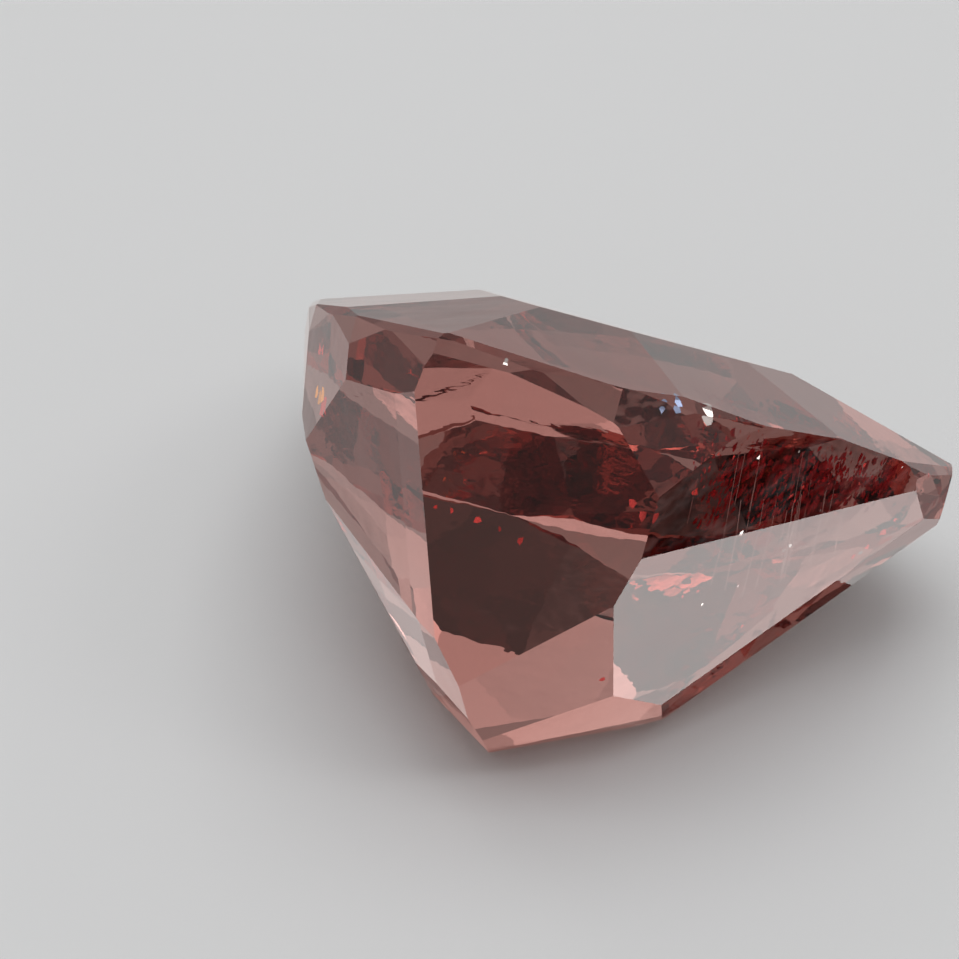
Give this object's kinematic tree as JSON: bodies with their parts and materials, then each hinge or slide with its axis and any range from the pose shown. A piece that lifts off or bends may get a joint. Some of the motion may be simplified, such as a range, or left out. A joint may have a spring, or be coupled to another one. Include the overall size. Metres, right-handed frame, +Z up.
{
  "type": "faceted garnet",
  "caption": "Transparent three-sided cut garnet with bowed sides, one blunted corner, a low crown and a deep pointed pavilion, lying on one pavilion facet.",
  "frame": {"origin": "middle of the lying stone's box in X and Y, on the surface that it lies on", "axes": "+Z up, -Y towards the camera of the picture, +X towards the corner at the picture's right"},
  "size_m": [0.0088, 0.0082, 0.0076],
  "materials": {
    "garnet": "polished, transparent pinkish-brown to deep red"
  },
  "bodies": {
    "root": {"garnet": "garnet"}
  },
  "joints": []
}
